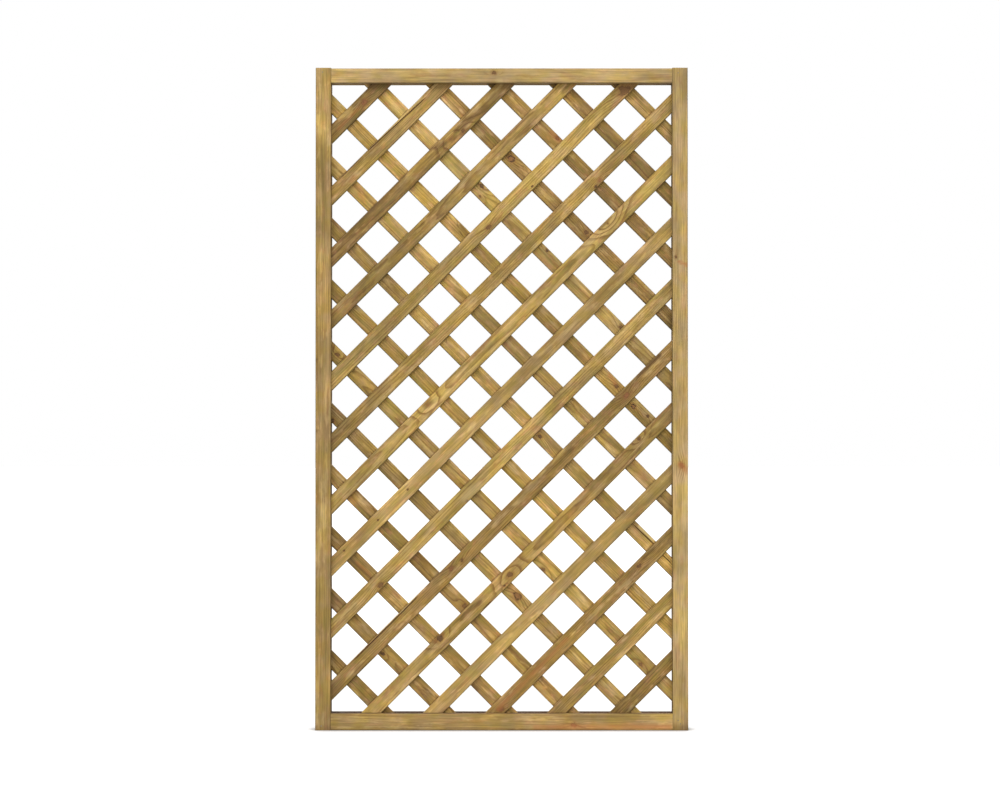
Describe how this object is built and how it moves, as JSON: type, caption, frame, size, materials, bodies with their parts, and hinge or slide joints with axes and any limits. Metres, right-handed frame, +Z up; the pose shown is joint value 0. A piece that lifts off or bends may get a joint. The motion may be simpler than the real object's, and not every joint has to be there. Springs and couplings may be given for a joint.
{
  "type": "wooden trellis panel",
  "caption": "Garden trellis panel of pressure-treated softwood: a grooved frame of square bars holds two crossed layers of diagonal slats.",
  "frame": {"origin": "middle of the bottom rail's underside, half way through the frame's depth", "axes": "+Z up along the stiles, +X to the right along the rails, front faces -Y"},
  "size_m": [1, 0.043, 1.778],
  "materials": {
    "frame_timber": "planed, pressure treated",
    "front_slat_timber": "planed, pressure treated",
    "back_slat_timber": "planed, pressure treated"
  },
  "bodies": {
    "root": {"left_stile": "frame_timber", "right_stile": "frame_timber", "top_rail": "frame_timber", "bottom_rail": "frame_timber", "front_slat_01": "front_slat_timber", "front_slat_02": "front_slat_timber", "front_slat_03": "front_slat_timber", "front_slat_04": "front_slat_timber", "front_slat_05": "front_slat_timber", "front_slat_06": "front_slat_timber", "front_slat_07": "front_slat_timber", "front_slat_08": "front_slat_timber", "front_slat_09": "front_slat_timber", "front_slat_10": "front_slat_timber", "front_slat_11": "front_slat_timber", "front_slat_12": "front_slat_timber", "front_slat_13": "front_slat_timber", "front_slat_14": "front_slat_timber", "front_slat_15": "front_slat_timber", "back_slat_01": "back_slat_timber", "back_slat_02": "back_slat_timber", "back_slat_03": "back_slat_timber", "back_slat_04": "back_slat_timber", "back_slat_05": "back_slat_timber", "back_slat_06": "back_slat_timber", "back_slat_07": "back_slat_timber", "back_slat_08": "back_slat_timber", "back_slat_09": "back_slat_timber", "back_slat_10": "back_slat_timber", "back_slat_11": "back_slat_timber", "back_slat_12": "back_slat_timber", "back_slat_13": "back_slat_timber", "back_slat_14": "back_slat_timber", "back_slat_15": "back_slat_timber"}
  },
  "joints": []
}
